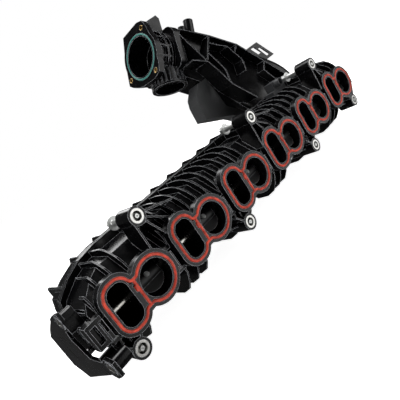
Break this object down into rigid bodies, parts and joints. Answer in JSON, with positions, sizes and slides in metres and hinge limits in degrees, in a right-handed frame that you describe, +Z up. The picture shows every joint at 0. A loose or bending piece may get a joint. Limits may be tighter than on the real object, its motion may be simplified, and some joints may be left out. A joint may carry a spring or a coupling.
{
  "type": "intake manifold",
  "caption": "Intake manifold of an inline-six engine: twin-port flanges with swirl flaps, ribbed plenum, air duct and throttle neck.",
  "frame": {"origin": "on the cylinder head face, in the middle of the row of ports, at the height of the port dividers", "axes": "+X along the engine from the flap actuator to the far end, -Y into the cylinder head, +Z up"},
  "size_m": [0.579, 0.221, 0.2959],
  "materials": {
    "black_nylon": "moulded glass-filled nylon, satin",
    "dark_nylon": "moulded nylon, fine texture",
    "sensor_plastic": "moulded",
    "red_silicone": "moulded silicone",
    "green_seal": "moulded fluoroelastomer",
    "seal_rubber": "moulded",
    "brass": "turned and knurled",
    "sleeve_steel": "turned",
    "bolt_steel": "zinc flake coated",
    "retainer_plastic": "moulded",
    "shaft_steel": "ground",
    "flap_plastic": "moulded"
  },
  "bodies": {
    "manifold": {"runner_1": "black_nylon", "runner_2": "black_nylon", "runner_3": "black_nylon", "runner_4": "black_nylon", "runner_5": "black_nylon", "runner_6": "black_nylon", "plenum_shell": "black_nylon", "duct_rear_shell": "black_nylon", "duct_front_shell": "black_nylon", "duct_truss": "black_nylon", "duct_collar": "black_nylon", "throttle_neck": "black_nylon", "gas_inlet_collar": "black_nylon", "cover_posts": "black_nylon", "actuator_bracket": "black_nylon", "side_chamber": "dark_nylon", "cable_tab": "dark_nylon", "pressure_sensor": "sensor_plastic", "port_gasket_1": "red_silicone", "port_gasket_2": "red_silicone", "port_gasket_3": "red_silicone", "port_gasket_4": "red_silicone", "port_gasket_5": "red_silicone", "port_gasket_6": "red_silicone", "throttle_seal": "green_seal", "shaft_seal": "seal_rubber", "throttle_inserts": "brass", "bolt_sleeves": "sleeve_steel", "actuator_sleeves": "sleeve_steel", "sensor_screw": "bolt_steel", "bolt_retainers": "retainer_plastic", "shaft_bushes": "retainer_plastic", "shaft_end_cap": "retainer_plastic"},
    "swirl_flaps": {"swirl_shaft": "shaft_steel", "flap_screws": "bolt_steel", "drive_coupling": "retainer_plastic", "swirl_flap_1": "flap_plastic", "swirl_flap_2": "flap_plastic", "swirl_flap_3": "flap_plastic", "swirl_flap_4": "flap_plastic", "swirl_flap_5": "flap_plastic", "swirl_flap_6": "flap_plastic"},
    "bolt_upper_1": {"bolt_upper_1": "bolt_steel"},
    "bolt_upper_2": {"bolt_upper_2": "bolt_steel"},
    "bolt_upper_3": {"bolt_upper_3": "bolt_steel"},
    "bolt_lower_1": {"bolt_lower_1": "bolt_steel"},
    "bolt_lower_2": {"bolt_lower_2": "bolt_steel"},
    "bolt_lower_3": {"bolt_lower_3": "bolt_steel"},
    "bolt_lower_4": {"bolt_lower_4": "bolt_steel"}
  },
  "joints": [
    {"name": "swirl_flap_turn", "type": "hinge", "parent": "manifold", "child": "swirl_flaps", "pos_m": [0, 0.0185, -0.001], "axis": [1, 0, 0], "range_deg": [-50, 35]},
    {"name": "bolt_upper_1_slide", "type": "slide", "parent": "manifold", "child": "bolt_upper_1", "axis": [0, -1, 0], "range_m": [0, 0.0205]},
    {"name": "bolt_upper_2_slide", "type": "slide", "parent": "manifold", "child": "bolt_upper_2", "axis": [0, -1, 0], "range_m": [0, 0.0205]},
    {"name": "bolt_upper_3_slide", "type": "slide", "parent": "manifold", "child": "bolt_upper_3", "axis": [0, -1, 0], "range_m": [0, 0.0205]},
    {"name": "bolt_lower_1_slide", "type": "slide", "parent": "manifold", "child": "bolt_lower_1", "axis": [0, -1, 0], "range_m": [0, 0.0205]},
    {"name": "bolt_lower_2_slide", "type": "slide", "parent": "manifold", "child": "bolt_lower_2", "axis": [0, -1, 0], "range_m": [0, 0.0205]},
    {"name": "bolt_lower_3_slide", "type": "slide", "parent": "manifold", "child": "bolt_lower_3", "axis": [0, -1, 0], "range_m": [0, 0.0205]},
    {"name": "bolt_lower_4_slide", "type": "slide", "parent": "manifold", "child": "bolt_lower_4", "axis": [0, -1, 0], "range_m": [0, 0.0205]}
  ]
}
